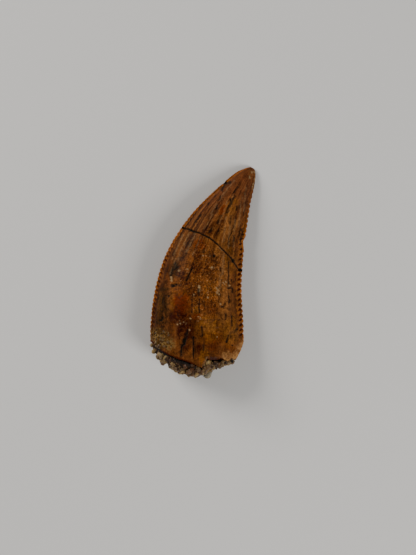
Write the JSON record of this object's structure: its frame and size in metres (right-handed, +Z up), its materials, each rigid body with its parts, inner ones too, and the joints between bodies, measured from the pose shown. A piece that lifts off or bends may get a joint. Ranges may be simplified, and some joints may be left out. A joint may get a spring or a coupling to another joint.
{
  "type": "fossil theropod tooth",
  "caption": "Fossil theropod tooth, a flattened recurved crown with serrated cutting edges, lying on its flatter face, with sandstone cemented in its broken base.",
  "frame": {"origin": "on the surface that the tooth lies on, under the middle of its bounding box", "axes": "+Y from the broken base towards the tip, +X towards the concave rear edge, +Z up out of the rounder outer face"},
  "size_m": [0.0122, 0.0246, 0.0055],
  "materials": {
    "enamel": "mineralised enamel, semi-gloss amber brown with darker streaks and cracks",
    "sandstone": "coarse brown sandstone with pale translucent quartz grains"
  },
  "bodies": {
    "root": {"tooth_crown": "enamel", "sandstone_matrix": "sandstone"}
  },
  "joints": []
}
